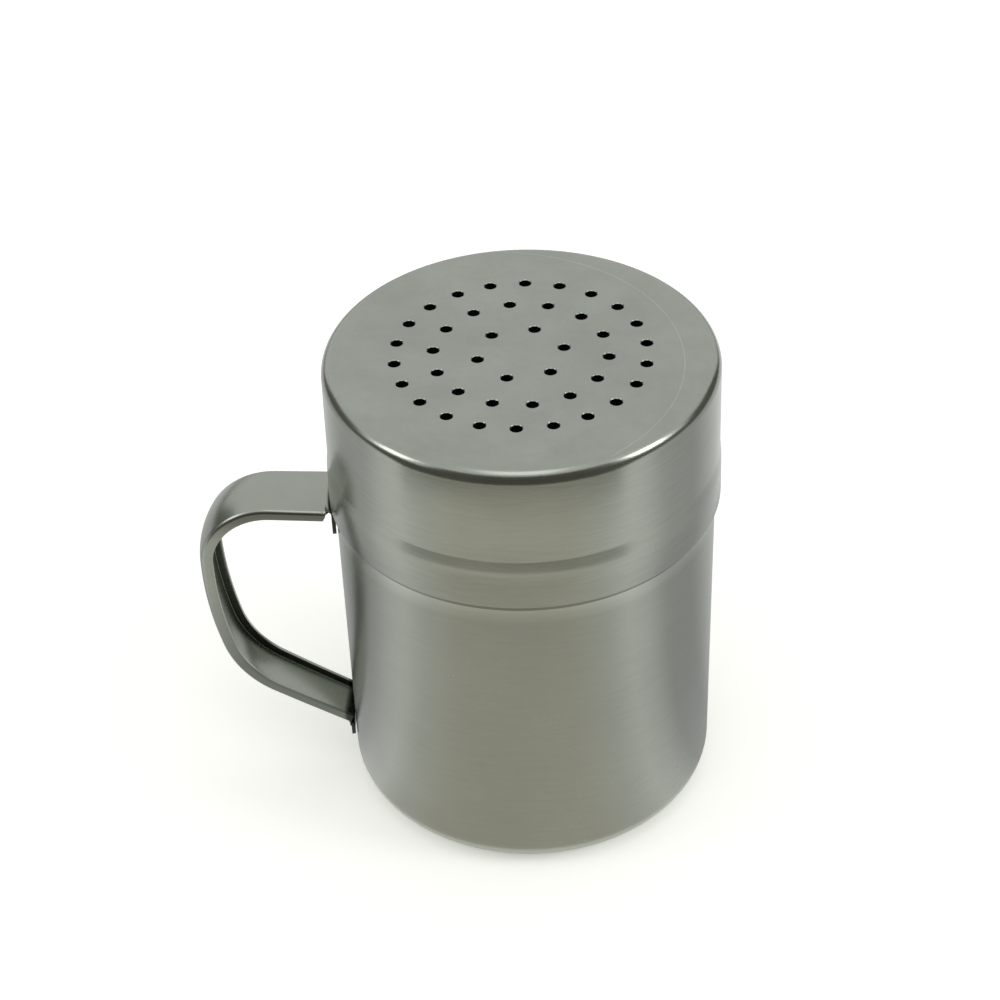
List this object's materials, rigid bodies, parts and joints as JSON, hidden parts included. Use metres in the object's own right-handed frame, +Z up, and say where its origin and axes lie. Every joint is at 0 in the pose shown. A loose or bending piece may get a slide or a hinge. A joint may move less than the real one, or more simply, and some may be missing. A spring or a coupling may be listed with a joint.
{
  "type": "handled spice shaker",
  "caption": "Stainless steel spice shaker: round drawn cup with a one-piece loop handle and a push-on lid with rings of small holes in its flat top.",
  "frame": {"origin": "centre of the cup's flat base, on the surface that it stands on", "axes": "+Z up along the cup's axis, and the handle points along -X"},
  "size_m": [0.0979, 0.0723, 0.0945],
  "materials": {
    "cup_steel": "satin drawn stainless steel, soft grain round the wall",
    "lid_steel": "satin drawn stainless steel, lightly scuffed top",
    "handle_steel": "satin pressed stainless steel strip"
  },
  "bodies": {
    "cup_body": {"cup": "cup_steel", "handle": "handle_steel"},
    "lid_body": {"lid": "lid_steel"}
  },
  "joints": [
    {"name": "lid_lift", "type": "slide", "parent": "cup_body", "child": "lid_body", "axis": [0, 0, 1], "range_m": [0, 0.04]}
  ]
}
